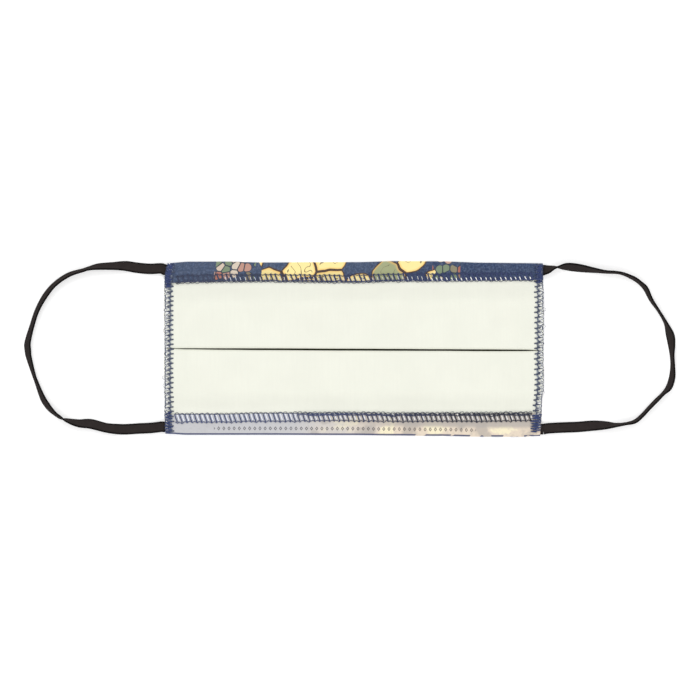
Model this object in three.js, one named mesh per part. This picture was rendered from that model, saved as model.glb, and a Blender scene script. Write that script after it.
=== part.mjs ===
// A pleated cloth face mask with two flat elastic ear loops, lying face down with its back up.
// Millimetres. X runs across the face, Y up the face and Z from the printed front to the back.
// The origin is under the middle of the cloth, on the surface that the mask lies on.
import * as THREE from "three";

// The folded mask, seam to seam and fold to fold
const MASK_WIDTH = 189;
const MASK_HEIGHT = 88.3;

// Both cloths, and the air between layers that touch
const CLOTH_THICKNESS = 1;
const LAYER_GAP = 0.3;

// The box pleat: how far it reaches to each side of its line, and how far the line stands open
const PLEAT_DEPTH = 20;
const PLEAT_OPEN = 0.9;
const PLEAT_SLOPE = 12;

// The hems, from the fold to the raw edge of the cloth
const TOP_HEM = 9.7;
const BOTTOM_HEM = 10.9;

// The elastic, the length of it inside a hem, and the room beside it there
const ELASTIC_WIDTH = 5.3;
const ELASTIC_THICKNESS = 1;
const ELASTIC_TAIL = 6.5;
const ELASTIC_ROOM = 0.3;
const ELASTIC_CHAMFER = 0.25;
const ELASTIC_LIFT = 0.05;

// Facets: turns of a fold, steps of a slope, bays between two rows of the outline table and
// steps between two points of an elastic's route
const FOLD_STEPS = 6;
const SLOPE_STEPS = 5;
const BAYS_PER_ROW = 2;
const STEPS_PER_POINT = 2;

// Colours, as on the real mask
const PRINT_COLOUR = 0x59617a;
const LINING_COLOUR = 0xf3f5eb;
const ELASTIC_COLOUR = 0x3a3735;

// How the edges wander across the mask. across is a share of the width from the left seam,
// top, bottom and line are shares of half the height, and the hems are shares of their depth.
const OUTLINE = [
  { across: 0, top: 0.968, bottom: 0.965, line: 0.001, topHem: 1.05, bottomHem: 0.885 },
  { across: 0.06, top: 0.984, bottom: 0.977, line: -0.003, topHem: 1.05, bottomHem: 0.91 },
  { across: 0.16, top: 0.984, bottom: 0.977, line: -0.006, topHem: 1.01, bottomHem: 0.92 },
  { across: 0.25, top: 0.974, bottom: 0.977, line: -0.008, topHem: 0.95, bottomHem: 0.955 },
  { across: 0.5, top: 0.978, bottom: 0.98, line: -0.013, topHem: 1.01, bottomHem: 0.99 },
  { across: 0.61, top: 0.989, bottom: 0.985, line: -0.015, topHem: 1, bottomHem: 0.985 },
  { across: 0.72, top: 0.987, bottom: 0.989, line: -0.017, topHem: 0.98, bottomHem: 1.01 },
  { across: 0.85, top: 0.971, bottom: 0.999, line: -0.02, topHem: 0.89, bottomHem: 1.05 },
  { across: 0.95, top: 0.967, bottom: 1, line: -0.021, topHem: 0.85, bottomHem: 1.07 },
  { across: 1, top: 0.964, bottom: 0.99, line: -0.022, topHem: 0.86, bottomHem: 1.07 },
];

// How far the side seams stand out, as shares of half the width, at heights up, which are
// shares of half the height from the bottom fold at -1 to the top fold at 1.
const SEAMS = [
  { up: -1, left: 0.997, right: 0.984 },
  { up: -0.65, left: 1, right: 0.992 },
  { up: -0.4, left: 1, right: 1 },
  { up: 0.8, left: 1, right: 1 },
  { up: 1, left: 0.984, right: 0.998 },
];

// Routes of the free elastic, from the top hem round to the bottom hem. out is measured from the
// seam, away from the mask, and up from the middle of its height. roll is the turn of the band
// about its own length in degrees, 0 lying flat. lift is the height of its lower edge.
const LEFT_ROUTE = [
  { out: 1.8, up: 40, roll: 2, lift: 1.2 },
  { out: 7.5, up: 39.8, roll: 3, lift: 0.6 },
  { out: 13.5, up: 40.3, roll: 3, lift: 0.15 },
  { out: 19.5, up: 41.2, roll: 17, lift: 0 },
  { out: 25, up: 41.2, roll: 41, lift: 0 },
  { out: 33, up: 40.9, roll: 54, lift: 0 },
  { out: 37.9, up: 40, roll: 70, lift: 0 },
  { out: 40.8, up: 39.1, roll: 73, lift: 0 },
  { out: 48, up: 36.8, roll: 66, lift: 0 },
  { out: 54.8, up: 32.2, roll: 64, lift: 0 },
  { out: 59.7, up: 26.4, roll: 60, lift: 0 },
  { out: 63.7, up: 19.1, roll: 64, lift: 0 },
  { out: 66.4, up: 11, roll: 63, lift: 0 },
  { out: 68.5, up: 3, roll: 53, lift: 0 },
  { out: 68.4, up: -0.7, roll: 51, lift: 0 },
  { out: 67.9, up: -4.3, roll: 57, lift: 0 },
  { out: 65.5, up: -12.7, roll: 70, lift: 0 },
  { out: 64.1, up: -16.7, roll: 71, lift: 0 },
  { out: 61.1, up: -24.4, roll: 59, lift: 0 },
  { out: 58.9, up: -28.1, roll: 57, lift: 0 },
  { out: 56.9, up: -30.6, roll: 62, lift: 0 },
  { out: 54.4, up: -32.9, roll: 72, lift: 0 },
  { out: 51.9, up: -34.6, roll: 77, lift: 0 },
  { out: 48.9, up: -35.9, roll: 107, lift: 0 },
  { out: 43, up: -37.4, roll: 135, lift: 0 },
  { out: 37, up: -37.7, roll: 158, lift: 0 },
  { out: 29, up: -39.7, roll: 155, lift: 0 },
  { out: 21, up: -40.4, roll: 177, lift: 0.1 },
  { out: 13, up: -40, roll: 177, lift: 0.4 },
  { out: 7, up: -39.7, roll: 177, lift: 0.8 },
  { out: 1.8, up: -39.1, roll: 179, lift: 1.25 },
];
const RIGHT_ROUTE = [
  { out: 2.5, up: 38.8, roll: 32, lift: 1 },
  { out: 6.2, up: 40.5, roll: 81, lift: 0.3 },
  { out: 11.5, up: 40.9, roll: 130, lift: 0 },
  { out: 17.4, up: 40.3, roll: 137, lift: 0 },
  { out: 24, up: 39.3, roll: 119, lift: 0 },
  { out: 31, up: 38.3, roll: 103, lift: 0 },
  { out: 38.5, up: 37.7, roll: 99, lift: 0 },
  { out: 44.9, up: 35.2, roll: 106, lift: 0 },
  { out: 48.5, up: 32.7, roll: 107, lift: 0 },
  { out: 51.3, up: 29.8, roll: 112, lift: 0 },
  { out: 53.9, up: 24.4, roll: 105, lift: 0 },
  { out: 57.8, up: 18.6, roll: 97, lift: 0 },
  { out: 61.4, up: 12.4, roll: 105, lift: 0 },
  { out: 63.5, up: 6.5, roll: 139, lift: 0 },
  { out: 64.2, up: 1.4, roll: 126, lift: 0 },
  { out: 64.4, up: -3.5, roll: 108, lift: 0 },
  { out: 64.7, up: -9, roll: 109, lift: 0 },
  { out: 64.4, up: -14.5, roll: 120, lift: 0 },
  { out: 62.8, up: -19.4, roll: 120, lift: 0 },
  { out: 59.8, up: -22.7, roll: 104, lift: 0 },
  { out: 56.3, up: -26.2, roll: 107, lift: 0 },
  { out: 53.1, up: -29.5, roll: 105, lift: 0 },
  { out: 49.5, up: -33.4, roll: 105, lift: 0 },
  { out: 45.7, up: -36.5, roll: 106, lift: 0 },
  { out: 40.5, up: -37.7, roll: 99, lift: 0 },
  { out: 35.5, up: -38.3, roll: 113, lift: 0 },
  { out: 31.5, up: -38.4, roll: 136, lift: 0 },
  { out: 24.5, up: -38.6, roll: 168, lift: 0 },
  { out: 17.5, up: -39.2, roll: 177, lift: 0.2 },
  { out: 9.5, up: -39.5, roll: 177, lift: 0.7 },
  { out: 2.5, up: -39.8, roll: 177, lift: 1.2 },
];

// What follows from the sizes above
const HALF_WIDTH = MASK_WIDTH / 2;
const HALF_HEIGHT = MASK_HEIGHT / 2;
const LAYER_PITCH = CLOTH_THICKNESS + LAYER_GAP;
const PAIR_HALF = CLOTH_THICKNESS + LAYER_GAP / 2;
const PAIR_LEVELS = {
  low: PAIR_HALF,
  middle: PAIR_HALF + 2 * LAYER_PITCH,
  high: PAIR_HALF + 4 * LAYER_PITCH,
};
const HEM_ROOM = Math.max(CLOTH_THICKNESS, ELASTIC_THICKNESS) + 2 * LAYER_GAP;
const HEM_FOLD_CENTRE = CLOTH_THICKNESS + HEM_ROOM / 2;
const HEM_FOLD_RADIUS = (HEM_ROOM + CLOTH_THICKNESS) / 2;

// The band's edge stops short of the hem's fold, where the hollow narrows to the band's thickness.
const HEM_FOLD_INSET =
  HEM_FOLD_CENTRE - Math.sqrt((HEM_ROOM / 2) ** 2 - (ELASTIC_THICKNESS / 2) ** 2) + LAYER_GAP;
const LINING_INSET = HEM_FOLD_INSET + ELASTIC_WIDTH + ELASTIC_ROOM + LAYER_GAP;

// A value of a table at a place between two of its rows, eased so that the rows join without a corner.
function tableValue(table, placeKey, place, valueKey) {
  const last = table.length - 1;
  const next = table.findIndex((row) => row[placeKey] >= place);
  const to = next < 0 ? table[last] : table[next];
  const from = next < 0 ? table[last] : table[Math.max(next - 1, 0)];
  const share = THREE.MathUtils.smoothstep(place, from[placeKey], to[placeKey]);
  return THREE.MathUtils.lerp(from[valueKey], to[valueKey], share);
}

// The outline's lengths at one place across the mask.
function outlineAt(across) {
  const share = (key) => tableValue(OUTLINE, "across", across, key);
  return {
    top: HALF_HEIGHT * share("top"),
    bottom: HALF_HEIGHT * share("bottom"),
    line: HALF_HEIGHT * share("line"),
    topHem: TOP_HEM * share("topHem"),
    bottomHem: BOTTOM_HEM * share("bottomHem"),
  };
}

// The x of a point that lies a share across the mask, between the two seams at height y.
function seamToSeam(across, y) {
  const up = THREE.MathUtils.clamp(y / HALF_HEIGHT, -1, 1);
  const left = -HALF_WIDTH * tableValue(SEAMS, "up", up, "left");
  const right = HALF_WIDTH * tableValue(SEAMS, "up", up, "right");
  return THREE.MathUtils.lerp(left, right, across);
}

// Points of a fold about its centre, from one angle to the other. facing is 1 where the
// cloth's inside looks out of the bend and -1 where it looks into it.
function foldPoints(centre, radius, fromDegrees, toDegrees, facing) {
  const points = [];
  for (let step = 0; step <= FOLD_STEPS; step++) {
    const angle = THREE.MathUtils.degToRad(fromDegrees + ((toDegrees - fromDegrees) * step) / FOLD_STEPS);
    const outward = new THREE.Vector2(Math.cos(angle), Math.sin(angle));
    const place = outward.clone().multiplyScalar(radius).add(centre);
    points.push({ place, inside: outward.multiplyScalar(facing) });
  }
  return points;
}

// The drape from the hem up on to the pleat's folded layers.
function slopePoints(fromX, fromY, toX, toY) {
  const points = [];
  for (let step = 0; step <= SLOPE_STEPS; step++) {
    const share = step / SLOPE_STEPS;
    const rise = (1 - Math.cos(Math.PI * share)) / 2;
    const steepness = (Math.PI / 2) * Math.sin(Math.PI * share) * (toY - fromY);
    const place = new THREE.Vector2(fromX + (toX - fromX) * share, fromY + (toY - fromY) * rise);
    const along = new THREE.Vector2(toX - fromX, steepness).normalize();
    points.push({ place, inside: new THREE.Vector2(along.y, -along.x) });
  }
  return points;
}

// Half of the pleated pair of cloths, from under a hem in to the middle of the front. Its places
// lie midway between the two cloths, x is the distance from the pleat's line and y the height.
function pairHalf(edge, hem) {
  const foot = edge - hem - LAYER_PITCH;
  const inner = new THREE.Vector2(
    PLEAT_OPEN / 2 + LAYER_PITCH + PAIR_HALF,
    (PAIR_LEVELS.middle + PAIR_LEVELS.high) / 2,
  );
  const outer = new THREE.Vector2(
    PLEAT_DEPTH - LAYER_PITCH - PAIR_HALF,
    (PAIR_LEVELS.low + PAIR_LEVELS.middle) / 2,
  );
  const crest = Math.max(foot - PLEAT_SLOPE, PLEAT_DEPTH - LAYER_PITCH);
  return [
    { place: new THREE.Vector2(edge - LINING_INSET, PAIR_LEVELS.low), inside: new THREE.Vector2(0, 1) },
    ...slopePoints(foot, PAIR_LEVELS.low, crest, PAIR_LEVELS.high),
    ...foldPoints(inner, LAYER_PITCH, 90, 270, 1),
    ...foldPoints(outer, LAYER_PITCH, 90, -90, -1),
  ];
}

// The hem that the front cloth makes beyond the lining's edge, from its raw edge to the fold's foot.
function hemPoints(edge, hem) {
  const centre = new THREE.Vector2(edge - HEM_FOLD_CENTRE, HEM_FOLD_CENTRE);
  const rawEdge = new THREE.Vector2(edge - hem, HEM_FOLD_CENTRE + HEM_FOLD_RADIUS);
  return [
    { place: rawEdge, inside: new THREE.Vector2(0, -1) },
    ...foldPoints(centre, HEM_FOLD_RADIUS, 90, -90, -1),
  ];
}

// Sets a half's points, given by their distance from the pleat's line, on the upper or lower panel.
function onPanel(points, line, panel) {
  const turned = points.map(({ place, inside }) => ({
    place: new THREE.Vector2(line + panel * place.x, place.y),
    inside: new THREE.Vector2(panel * inside.x, inside.y),
  }));
  return panel > 0 ? turned : turned.reverse();
}

// The middle line of one cloth, which lies a set distance from the middle of the pair.
function clothFromPair(points, offset) {
  return points.map(({ place, inside }) => ({
    place: inside.clone().multiplyScalar(offset).add(place),
    inside,
  }));
}

// The lining's course through the mask, in a plane across it.
function liningCourse(outline) {
  const { line } = outline;
  const upper = onPanel(pairHalf(outline.top - line, outline.topHem), line, 1);
  const lower = onPanel(pairHalf(outline.bottom + line, outline.bottomHem), line, -1);
  return clothFromPair([...upper, ...lower], LAYER_PITCH / 2);
}

// The front cloth's course: hem, pleated pair, hem.
function frontCourse(outline) {
  const { line } = outline;
  const upper = pairHalf(outline.top - line, outline.topHem).slice(1);
  const lower = pairHalf(outline.bottom + line, outline.bottomHem).slice(1);
  return [
    ...onPanel(hemPoints(outline.top - line, outline.topHem), line, 1),
    ...clothFromPair([...onPanel(upper, line, 1), ...onPanel(lower, line, -1)], -LAYER_PITCH / 2),
    ...onPanel(hemPoints(outline.bottom + line, outline.bottomHem), line, -1),
  ];
}

// Places across the mask at which its courses are worked out.
function stations() {
  const places = [OUTLINE[0].across];
  for (let row = 1; row < OUTLINE.length; row++) {
    for (let bay = 1; bay <= BAYS_PER_ROW; bay++) {
      places.push(THREE.MathUtils.lerp(OUTLINE[row - 1].across, OUTLINE[row].across, bay / BAYS_PER_ROW));
    }
  }
  return places;
}

// A closed mesh geometry from its corners and its four-sided faces, seen anticlockwise from outside.
function closedGeometry(corners, faces) {
  const geometry = new THREE.BufferGeometry().setFromPoints(corners);
  geometry.setIndex(faces.flatMap(([a, b, c, d]) => [a, b, c, a, c, d]));
  geometry.computeVertexNormals();
  return geometry;
}

// One cloth of the mask: its course at every station, thickened to both sides and joined up.
function clothGeometry(courseAt) {
  const sections = stations().map((across) => ({ across, course: courseAt(outlineAt(across)) }));
  const perSection = 2 * sections[0].course.length;
  const corners = [];
  for (const { across, course } of sections) {
    for (const { place, inside } of course) {
      for (const side of [-1, 1]) {
        const point = inside.clone().multiplyScalar((side * CLOTH_THICKNESS) / 2).add(place);
        corners.push(new THREE.Vector3(seamToSeam(across, point.x), point.x, point.y));
      }
    }
  }

  const lastSection = sections.length - 1;
  const lastPlace = sections[0].course.length - 1;
  const printed = (section, place) => section * perSection + 2 * place;
  const inner = (section, place) => printed(section, place) + 1;
  const faces = [];
  for (let section = 0; section < lastSection; section++) {
    const next = section + 1;
    for (let place = 0; place < lastPlace; place++) {
      const after = place + 1;
      faces.push([
        printed(section, place),
        printed(next, place),
        printed(next, after),
        printed(section, after),
      ]);
      faces.push([
        inner(section, place),
        inner(section, after),
        inner(next, after),
        inner(next, place),
      ]);
    }
    faces.push([printed(section, 0), inner(section, 0), inner(next, 0), printed(next, 0)]);
    faces.push([
      printed(section, lastPlace),
      printed(next, lastPlace),
      inner(next, lastPlace),
      inner(section, lastPlace),
    ]);
  }
  for (let place = 0; place < lastPlace; place++) {
    const after = place + 1;
    faces.push([printed(0, place), printed(0, after), inner(0, after), inner(0, place)]);
    faces.push([
      printed(lastSection, place),
      inner(lastSection, place),
      inner(lastSection, after),
      printed(lastSection, after),
    ]);
  }
  return closedGeometry(corners, faces);
}

// The elastic's end inside a hem: points that follow the hem's fold, from the deep end to just
// outside the seam.
function tailPoints(side, panel) {
  return [ELASTIC_TAIL, ELASTIC_TAIL / 2, -ELASTIC_ROOM].map((depth) => {
    const x = side * (HALF_WIDTH - depth);
    const outline = outlineAt((x + HALF_WIDTH) / MASK_WIDTH);
    const edge = panel > 0 ? outline.top : outline.bottom;
    const y = panel * (edge - HEM_FOLD_INSET - (ELASTIC_WIDTH + ELASTIC_ROOM) / 2);
    return { x, y, roll: panel > 0 ? 0 : 180, lift: HEM_FOLD_CENTRE - ELASTIC_THICKNESS / 2 };
  });
}

// The whole route of one loop: a tail in the top hem, the free stretch and a tail in the bottom hem.
function loopRoute(side, freeRoute) {
  const free = freeRoute.map(({ out, up, roll, lift }) => ({
    x: side * (HALF_WIDTH + out),
    y: up,
    roll,
    lift: Math.max(lift, ELASTIC_LIFT),
  }));
  return [...tailPoints(side, 1), ...free, ...tailPoints(side, -1).reverse()];
}

// Half the height of the band where it is rolled by some degrees.
function bandHalfHeight(degrees) {
  const roll = THREE.MathUtils.degToRad(degrees);
  return (ELASTIC_WIDTH * Math.abs(Math.sin(roll)) + ELASTIC_THICKNESS * Math.abs(Math.cos(roll))) / 2;
}

// The band's section: a flat bar with its four long edges taken off.
function bandSection() {
  const w = ELASTIC_WIDTH / 2;
  const t = ELASTIC_THICKNESS / 2;
  const c = ELASTIC_CHAMFER;
  return [
    [w, t - c],
    [w - c, t],
    [c - w, t],
    [-w, t - c],
    [-w, c - t],
    [c - w, -t],
    [w - c, -t],
    [w, c - t],
  ];
}

// An ear loop: the band's section carried along its route and rolled as the route says.
function loopGeometry(side, freeRoute) {
  const route = loopRoute(side, freeRoute);
  const middles = route.map(({ x, y, roll, lift }) => new THREE.Vector3(x, y, lift + bandHalfHeight(roll)));
  const path = new THREE.CatmullRomCurve3(middles, false, "centripetal");
  const rollAt = (share) => {
    const place = share * (route.length - 1);
    const from = Math.min(Math.floor(place), route.length - 2);
    const degrees = THREE.MathUtils.lerp(route[from].roll, route[from + 1].roll, place - from);
    return THREE.MathUtils.degToRad(degrees);
  };
  const section = bandSection();
  const steps = STEPS_PER_POINT * (route.length - 1);
  const corners = [];
  for (let step = 0; step <= steps; step++) {
    const share = step / steps;
    const along = path.getTangent(share);
    const flatSide = new THREE.Vector3(0, 0, 1).cross(along).normalize().multiplyScalar(side);
    const flatUp = along.clone().cross(flatSide).multiplyScalar(side);
    const roll = rollAt(share);
    const across = flatSide.clone().multiplyScalar(Math.cos(roll)).addScaledVector(flatUp, Math.sin(roll));
    const through = flatUp.clone().multiplyScalar(Math.cos(roll)).addScaledVector(flatSide, -Math.sin(roll));
    for (const [wide, thick] of section) {
      corners.push(path.getPoint(share).addScaledVector(across, wide).addScaledVector(through, thick));
    }
  }
  return closedGeometry(corners, bandFaces(steps, section.length, side));
}

// The faces of a band: four-sided ones along it, and its two ends cut into strips.
function bandFaces(steps, sides, side) {
  const faces = [];
  for (let step = 0; step < steps; step++) {
    for (let corner = 0; corner < sides; corner++) {
      const next = (corner + 1) % sides;
      const here = step * sides;
      const ahead = here + sides;
      faces.push([here + corner, ahead + corner, ahead + next, here + next]);
    }
  }
  const end = steps * sides;
  for (let strip = 0; strip < sides / 2 - 1; strip++) {
    const corners = [strip, strip + 1, sides - 2 - strip, sides - 1 - strip];
    faces.push(corners);
    faces.push(corners.map((corner) => end + corner).reverse());
  }
  return side > 0 ? faces.map((face) => face.slice().reverse()) : faces;
}

// One named piece of the mask.
function piece(name, geometry, color, roughness) {
  const mesh = new THREE.Mesh(geometry, new THREE.MeshStandardMaterial({ color, roughness, metalness: 0 }));
  mesh.name = name;
  return mesh;
}

// The whole mask
const CLOTH_ROUGHNESS = 0.9;
const ELASTIC_ROUGHNESS = 0.75;
const mask = new THREE.Group();
mask.add(piece("front_panel", clothGeometry(frontCourse), PRINT_COLOUR, CLOTH_ROUGHNESS));
mask.add(piece("lining", clothGeometry(liningCourse), LINING_COLOUR, CLOTH_ROUGHNESS));
mask.add(piece("ear_loop_left", loopGeometry(-1, LEFT_ROUTE), ELASTIC_COLOUR, ELASTIC_ROUGHNESS));
mask.add(piece("ear_loop_right", loopGeometry(1, RIGHT_ROUTE), ELASTIC_COLOUR, ELASTIC_ROUGHNESS));

export default mask;
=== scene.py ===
"""A pleated cloth face mask lying face down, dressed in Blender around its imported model.

All sizes are in metres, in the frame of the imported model: X runs across the face, Y up the face
and Z from the printed front to the back.
"""

import math
import random

import bpy
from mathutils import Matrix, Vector, noise


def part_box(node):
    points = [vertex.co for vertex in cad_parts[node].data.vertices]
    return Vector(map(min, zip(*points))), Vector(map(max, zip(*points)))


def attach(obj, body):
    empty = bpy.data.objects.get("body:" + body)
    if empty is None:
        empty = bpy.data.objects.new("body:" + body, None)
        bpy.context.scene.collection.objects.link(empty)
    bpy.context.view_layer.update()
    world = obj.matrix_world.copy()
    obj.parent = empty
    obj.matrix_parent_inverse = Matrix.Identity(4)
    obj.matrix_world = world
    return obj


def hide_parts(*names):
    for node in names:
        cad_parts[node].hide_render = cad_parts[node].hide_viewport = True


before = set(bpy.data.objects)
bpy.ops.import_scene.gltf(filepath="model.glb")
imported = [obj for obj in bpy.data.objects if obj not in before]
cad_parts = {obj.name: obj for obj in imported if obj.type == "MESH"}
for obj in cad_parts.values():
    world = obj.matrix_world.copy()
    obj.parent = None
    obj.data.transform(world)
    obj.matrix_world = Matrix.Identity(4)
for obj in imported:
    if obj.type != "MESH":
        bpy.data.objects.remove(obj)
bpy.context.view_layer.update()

bl_info = {
    "name": "Pleated Cloth Mask",
    "version": (1, 0, 0),
    "blender": (4, 5, 0),
    "location": "View3D > Sidebar > Mask",
    "description": "Makes a pleated cloth face mask with overlocked seams and elastic ear loops",
    "category": "Add Mesh",
}

MM = 0.001
PANEL_LOW, PANEL_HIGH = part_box("front_panel")
HALF_WIDTH = (PANEL_HIGH.x - PANEL_LOW.x) / 2
HALF_HEIGHT = max(PANEL_HIGH.y, -PANEL_LOW.y)

# The photograph's frame in pixels, where the mask's middle lies in it, and its scale
PHOTO_SIZE = 698
PHOTO_MIDDLE = (354, 348.5)
PIXELS_PER_MM = 2.0
CAMERA_HEIGHT = 2.4
SENSOR_WIDTH = 36.0

# The outline across the mask, from the left seam to the right. Across is a share of the width. The
# top, the bottom and the pleat's line are shares of half the height, the hems are shares of their
# depth, and open is a share of the pleat's opening.
OUTLINE_KEYS = ("across", "top", "bottom", "line", "top_hem", "bottom_hem", "open")
OUTLINE_ROWS = [
    (0, 0.968, 0.965, 0.001, 1.05, 0.885, 0.02),
    (0.06, 0.984, 0.977, -0.003, 1.05, 0.91, 0.6),
    (0.16, 0.984, 0.977, -0.006, 1.01, 0.92, 0.9),
    (0.25, 0.974, 0.977, -0.008, 0.95, 0.955, 1.1),
    (0.5, 0.978, 0.98, -0.013, 1.01, 0.99, 1.15),
    (0.61, 0.989, 0.985, -0.015, 1, 0.985, 1.15),
    (0.72, 0.987, 0.989, -0.017, 0.98, 1.01, 1.05),
    (0.85, 0.971, 0.999, -0.02, 0.89, 1.05, 1.1),
    (0.95, 0.967, 1, -0.021, 0.85, 1.07, 0.9),
    (1, 0.964, 0.99, -0.022, 0.86, 1.07, 0.02),
]
OUTLINE = [dict(zip(OUTLINE_KEYS, row)) for row in OUTLINE_ROWS]

# How far the side seams stand out, as shares of half the width, at shares of half the height
SEAMS = [
    {"up": -1, "left": 0.997, "right": 0.984},
    {"up": -0.65, "left": 1, "right": 0.992},
    {"up": -0.4, "left": 1, "right": 1},
    {"up": 0.8, "left": 1, "right": 1},
    {"up": 1, "left": 0.984, "right": 0.998},
]

# Routes of the free elastic in millimetres: out from the seam, up from the middle, roll of the
# band in degrees and lift of its lower edge
LEFT_ROUTE = [
    (1.8, 40, 2, 1.2),
    (7.5, 39.8, 3, 0.6),
    (13.5, 40.3, 3, 0.15),
    (19.5, 41.2, 17, 0),
    (25, 41.2, 41, 0),
    (33, 40.9, 54, 0),
    (37.9, 40, 70, 0),
    (40.8, 39.1, 73, 0),
    (48, 36.8, 66, 0),
    (54.8, 32.2, 64, 0),
    (59.7, 26.4, 60, 0),
    (63.7, 19.1, 64, 0),
    (66.4, 11, 63, 0),
    (68.5, 3, 53, 0),
    (68.4, -0.7, 51, 0),
    (67.9, -4.3, 57, 0),
    (65.5, -12.7, 70, 0),
    (64.1, -16.7, 71, 0),
    (61.1, -24.4, 59, 0),
    (58.9, -28.1, 57, 0),
    (56.9, -30.6, 62, 0),
    (54.4, -32.9, 72, 0),
    (51.9, -34.6, 77, 0),
    (48.9, -35.9, 107, 0),
    (43, -37.4, 135, 0),
    (37, -37.7, 158, 0),
    (29, -39.7, 155, 0),
    (21, -40.4, 177, 0.1),
    (13, -40, 177, 0.4),
    (7, -39.7, 177, 0.8),
    (1.8, -39.1, 179, 1.25),
]
RIGHT_ROUTE = [
    (0.9, 39.2, 20, 1.15),
    (2.5, 39.5, 40, 0.95),
    (6.2, 40.6, 81, 0.3),
    (11.5, 40.9, 130, 0),
    (17.4, 40.3, 137, 0),
    (24, 39.3, 119, 0),
    (31, 38.3, 103, 0),
    (38.5, 37.7, 99, 0),
    (44.9, 35.2, 106, 0),
    (48.5, 32.7, 107, 0),
    (51.3, 29.8, 112, 0),
    (53.9, 24.4, 105, 0),
    (57.8, 18.6, 97, 0),
    (61.4, 12.4, 105, 0),
    (63.5, 6.5, 139, 0),
    (64.2, 1.4, 126, 0),
    (64.4, -3.5, 108, 0),
    (64.7, -9, 109, 0),
    (64.4, -14.5, 120, 0),
    (62.8, -19.4, 120, 0),
    (59.8, -22.7, 104, 0),
    (56.3, -26.2, 107, 0),
    (53.1, -29.5, 105, 0),
    (49.5, -33.4, 105, 0),
    (45.7, -36.5, 106, 0),
    (40.5, -37.7, 99, 0),
    (35.5, -38.3, 113, 0),
    (31.5, -38.4, 136, 0),
    (24.5, -38.6, 168, 0),
    (17.5, -39.2, 177, 0.2),
    (9.5, -39.5, 177, 0.7),
    (2.5, -39.9, 177, 1.2),
]

# Points of an overlock stitch's strands on the hems: a share of the pitch along the seam,
# millimetres in from the cloth's edge and millimetres above the cloth
HEM_RUNG = [
    (0.0, -0.2, 0.0), (0.06, 0.5, 0.1), (0.26, 2.0, 0.14),
    (0.46, 3.3, 0.1), (0.5, 3.7, -0.4), (0.9, 0.2, -0.5),
]
PALE_RUNG = [
    (0.48, 0.2, 0.0), (0.54, 0.7, 0.06), (0.7, 1.9, 0.1),
    (0.84, 2.7, 0.06), (0.88, 3.0, -0.4), (1.3, 0.4, -0.5),
]
WHITE_DASH = [
    (0.42, -0.1, 0.1), (0.52, 0.4, 0.24), (0.62, 1.0, 0.2),
    (0.68, 1.4, -0.2), (1.0, 0.8, -0.6), (1.3, 0.0, -0.4),
]
PALE_DASH = [
    (0.46, 0.1, 0.0), (0.54, 0.6, 0.1), (0.64, 1.5, 0.1),
    (0.72, 2.2, -0.2), (1.0, 0.8, -0.6), (1.35, 0.2, -0.4),
]
INNER_LINE = [(0.0, 3.5, 0.14), (0.3, 3.7, 0.1), (0.5, 4.15, 0.04), (0.7, 3.7, 0.16), (0.85, 3.5, 0.12)]
TOP_RAW_EDGE = [(0.0, 0.2, 0.1), (0.25, 0.0, 0.16), (0.5, 0.3, 0.14), (0.75, 0.1, 0.1)]
BOTTOM_RAW_EDGE = [(0.0, 0.3, 0.14), (0.25, 0.1, 0.2), (0.5, 0.35, 0.18), (0.75, 0.2, 0.14)]
BESIDE_RAW_EDGE = [(0.0, 0.8, 0.2), (0.25, 0.65, 0.24), (0.5, 0.85, 0.24), (0.75, 0.7, 0.2)]
OUTER_LINE = [(0.1, -0.3, 0.05), (0.35, -0.1, 0.1), (0.6, -0.35, 0.12), (0.85, -0.15, 0.08)]
OUTER_LOOPS = [(0.0, -0.3, 0.1), (0.25, -0.75, 0.05), (0.5, -0.95, 0.0), (0.75, -0.75, 0.05)]

# Points of the strands on the side seams, measured in the same way
SIDE_SPIKE = [
    (0.28, 1.5, 0.0), (0.36, 2.7, 0.26), (0.42, 3.5, 0.16),
    (0.46, 4.3, 0.0), (0.5, 3.6, -0.35), (0.9, 1.6, -0.5),
]
SIDE_LINE = [(0.0, 2.7, 0.3), (0.3, 2.85, 0.46), (0.5, 3.1, 0.46), (0.7, 2.75, 0.36)]
GREY_LINE = [(0.0, 2.2, 0.1), (0.25, 2.7, 0.12), (0.5, 3.4, 0.12), (0.75, 2.8, 0.12)]
SIDE_LOOPS = [
    (0.05, 2.6, 0.3), (0.14, 1.3, 0.2), (0.3, 0.3, 0.1),
    (0.48, 0.0, -0.1), (0.66, 0.3, 0.1), (0.86, 1.4, 0.2),
]
SIDE_EDGE = [(0.0, 0.0, -0.1), (0.3, 0.25, 0.1), (0.6, -0.05, 0.02), (0.8, 0.15, -0.2)]
GREY_LOOPS = [(0.1, 0.5, 0.02), (0.3, 0.9, 0.1), (0.55, 0.4, 0.06), (0.8, 1.0, 0.1)]
WHITE_LOOPS = [(0.7, 0.7, 0.02), (0.85, 1.3, 0.06), (1.0, 2.1, 0.06), (1.1, 1.4, 0.0), (1.2, 0.8, 0.02)]

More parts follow.
